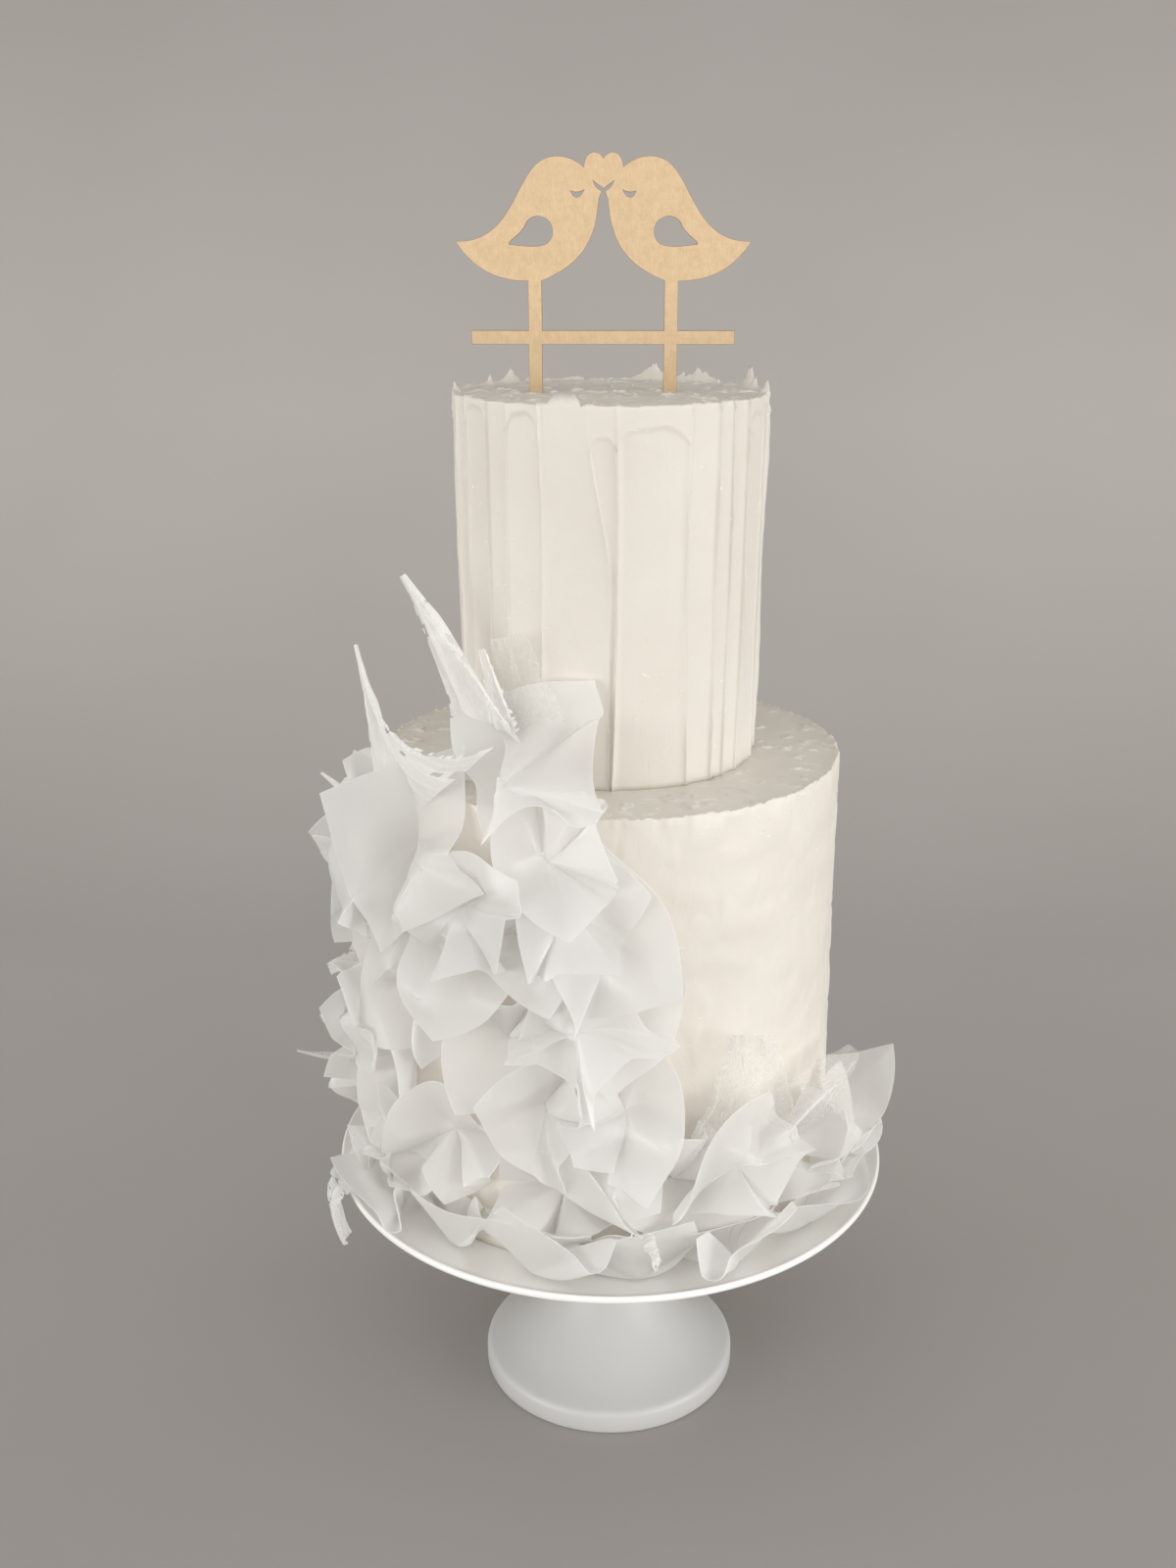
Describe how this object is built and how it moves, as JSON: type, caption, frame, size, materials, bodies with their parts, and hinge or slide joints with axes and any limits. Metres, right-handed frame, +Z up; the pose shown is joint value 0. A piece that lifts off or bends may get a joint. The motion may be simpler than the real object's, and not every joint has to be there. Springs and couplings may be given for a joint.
{
  "type": "tiered wedding cake",
  "caption": "Tall two-tier iced wedding cake on a round pedestal stand, dressed with a sweep of pinched wafer-paper squares and rice-paper sails, with a flat love-bird topper.",
  "frame": {"origin": "centre of the underside of the stand's foot", "axes": "+Z up along the cake's axis, -Y towards the front, +X to the right seen from the front"},
  "size_m": [0.3301, 0.3158, 0.6623],
  "materials": {
    "icing": "smooth buttercream icing, satin, with knife strokes",
    "wafer_paper": "smooth edible wafer paper, satin, slightly translucent",
    "rice_paper": "crinkled dried rice paper, glossy and see-through",
    "fibreboard": "bare laser-cut fibreboard, matte, with darker cut edges",
    "gloss_enamel": "smooth off-white enamel, glossy",
    "satin_enamel": "smooth off-white enamel, satin"
  },
  "bodies": {
    "root": {"stand_plate": "gloss_enamel", "stand_foot": "satin_enamel", "bottom_tier": "icing", "top_tier": "icing", "topper": "fibreboard", "wafer_1": "wafer_paper", "wafer_2": "wafer_paper", "wafer_3": "wafer_paper", "wafer_4": "wafer_paper", "wafer_5": "wafer_paper", "wafer_6": "wafer_paper", "wafer_7": "wafer_paper", "wafer_8": "wafer_paper", "wafer_9": "wafer_paper", "wafer_10": "wafer_paper", "wafer_11": "wafer_paper", "wafer_12": "wafer_paper", "wafer_13": "wafer_paper", "wafer_14": "wafer_paper", "wafer_15": "wafer_paper", "wafer_16": "wafer_paper", "wafer_17": "wafer_paper", "wafer_18": "wafer_paper", "wafer_19": "wafer_paper", "wafer_20": "wafer_paper", "wafer_21": "wafer_paper", "wafer_22": "wafer_paper", "wafer_23": "wafer_paper", "wafer_24": "wafer_paper", "wafer_25": "wafer_paper", "wafer_26": "wafer_paper", "wafer_27": "wafer_paper", "wafer_28": "wafer_paper", "wafer_29": "wafer_paper", "wafer_30": "wafer_paper", "wafer_31": "wafer_paper", "wafer_32": "wafer_paper", "wafer_33": "wafer_paper", "wafer_34": "wafer_paper", "wafer_35": "wafer_paper", "wafer_36": "wafer_paper", "wafer_37": "wafer_paper", "wafer_38": "wafer_paper", "wafer_39": "wafer_paper", "wafer_40": "wafer_paper", "wafer_41": "wafer_paper", "wafer_42": "wafer_paper", "rice_1": "rice_paper", "rice_2": "rice_paper", "rice_3": "rice_paper", "rice_4": "rice_paper", "rice_5": "rice_paper", "rice_6": "rice_paper", "rice_7": "rice_paper", "rice_8": "rice_paper", "rice_9": "rice_paper", "rice_10": "rice_paper", "rice_11": "rice_paper", "rice_12": "rice_paper"}
  },
  "joints": []
}
